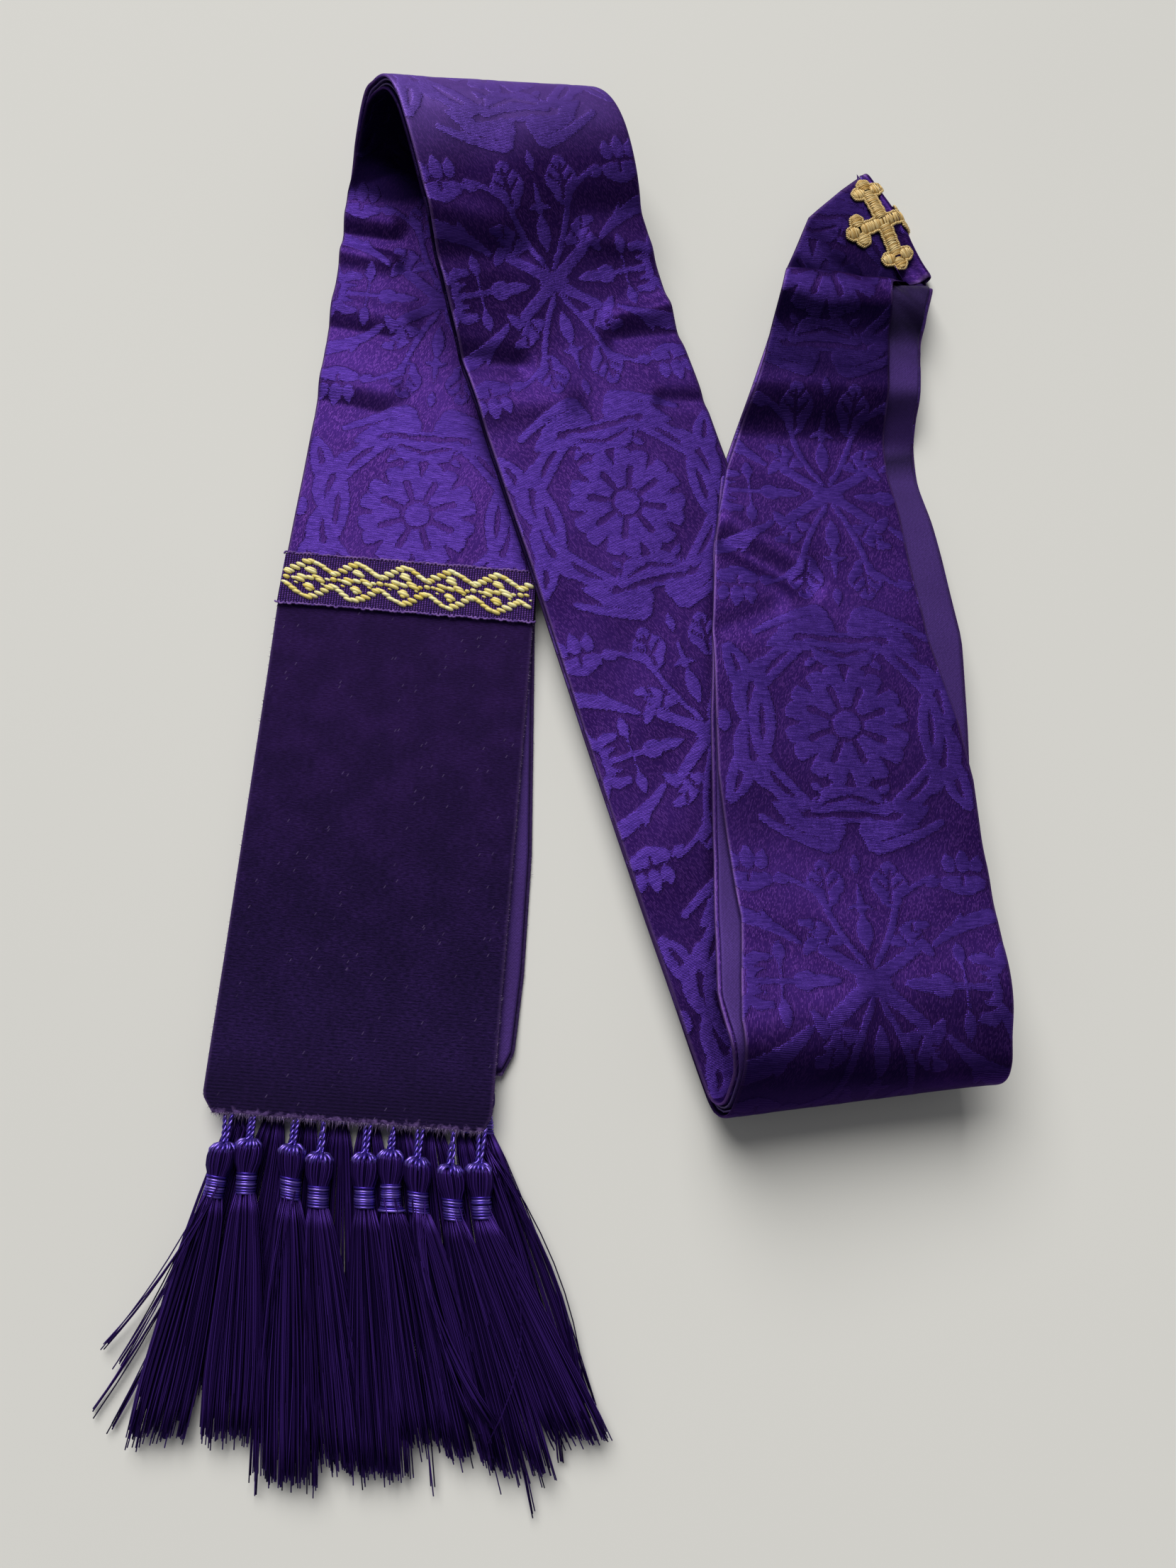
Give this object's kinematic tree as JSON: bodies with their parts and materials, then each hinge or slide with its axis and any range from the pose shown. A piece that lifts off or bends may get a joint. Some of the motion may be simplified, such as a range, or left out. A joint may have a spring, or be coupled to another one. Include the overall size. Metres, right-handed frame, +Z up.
{
  "type": "clerical stole",
  "caption": "Long liturgical stole of purple damask, folded in three and lying flat, with velvet ends, braid, tassels and an embroidered neck cross.",
  "frame": {"origin": "middle of the foot of the bounding box, on the surface that the stole lies on", "axes": "+Z up, +Y along the folded stole from its hems to its neck, +X to the right with the tassels nearest"},
  "size_m": [0.3219, 0.5821, 0.0641],
  "materials": {
    "damask": "lustrous tone-on-tone damask, satin floats on a dull ground",
    "lining": "matt plain-weave cotton",
    "velvet": "deep cut-pile velvet",
    "galloon": "woven braid, gold yellow figures on a ribbed purple ground",
    "embroidery": "satin stitch in gold thread",
    "tassel_silk": "glossy twisted rayon threads"
  },
  "bodies": {
    "root": {"front_a": "damask", "lining_a": "lining", "velvet_a": "velvet", "galloon_a": "galloon", "front_b": "damask", "lining_b": "lining", "velvet_b": "velvet", "galloon_b": "galloon", "neck_cross": "embroidery", "tassel_a_1": "tassel_silk", "tassel_a_2": "tassel_silk", "tassel_a_3": "tassel_silk", "tassel_a_4": "tassel_silk", "tassel_a_5": "tassel_silk", "tassel_a_6": "tassel_silk", "tassel_a_7": "tassel_silk", "tassel_a_8": "tassel_silk", "tassel_a_9": "tassel_silk", "tassel_b_1": "tassel_silk", "tassel_b_2": "tassel_silk", "tassel_b_3": "tassel_silk", "tassel_b_4": "tassel_silk", "tassel_b_5": "tassel_silk", "tassel_b_6": "tassel_silk", "tassel_b_7": "tassel_silk", "tassel_b_8": "tassel_silk", "tassel_b_9": "tassel_silk"}
  },
  "joints": []
}
